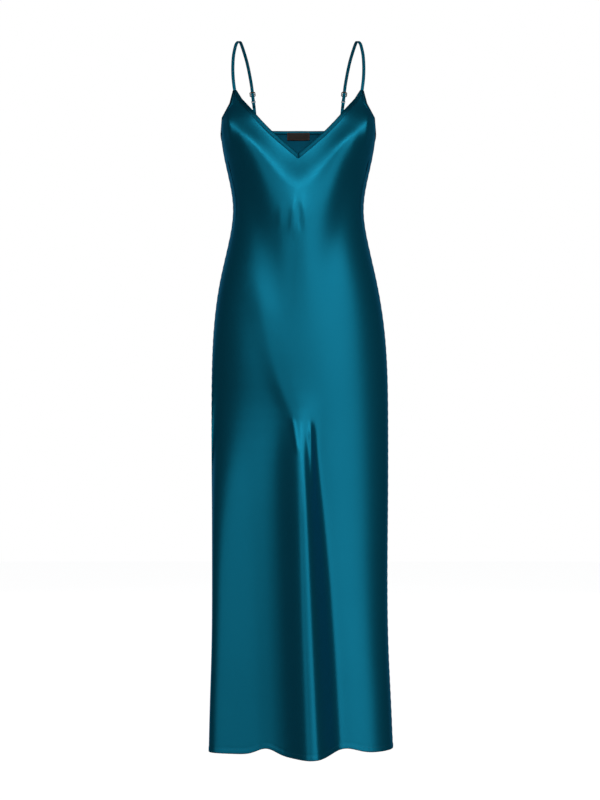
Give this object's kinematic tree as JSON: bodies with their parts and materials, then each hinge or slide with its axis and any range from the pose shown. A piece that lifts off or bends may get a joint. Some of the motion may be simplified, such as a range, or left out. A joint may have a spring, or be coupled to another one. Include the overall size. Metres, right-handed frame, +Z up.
{
  "type": "slip dress",
  "caption": "Bias-cut satin slip dress with a bound V neck, thin adjustable straps and a long skirt falling in soft drapes, hollow as when worn.",
  "frame": {"origin": "midway between the two straps where they cross the shoulders, at the height of the straps' underside", "axes": "+Z up, the front of the dress faces -Y, +X towards the right of the picture"},
  "size_m": [0.3391, 0.2829, 1.3053],
  "materials": {
    "satin": "glossy teal satin, soft woven sheen",
    "satin_binding": "glossy teal satin, cut on the bias and stitched",
    "gold_metal": "polished light gold plating",
    "dyed_metal": "satin enamel dyed to the cloth",
    "label": "woven dark brown label, bare"
  },
  "bodies": {
    "root": {"front_panel": "satin", "back_panel": "satin", "neck_binding_left": "satin_binding", "neck_binding_right": "satin_binding", "armhole_binding_left": "satin_binding", "armhole_binding_right": "satin_binding", "back_binding": "satin_binding", "strap_left": "satin_binding", "strap_right": "satin_binding", "strap_tab_left": "satin_binding", "strap_tab_right": "satin_binding", "strap_slider_left": "gold_metal", "strap_slider_right": "gold_metal", "strap_ring_left": "dyed_metal", "strap_ring_right": "dyed_metal", "neck_label": "label"}
  },
  "joints": []
}
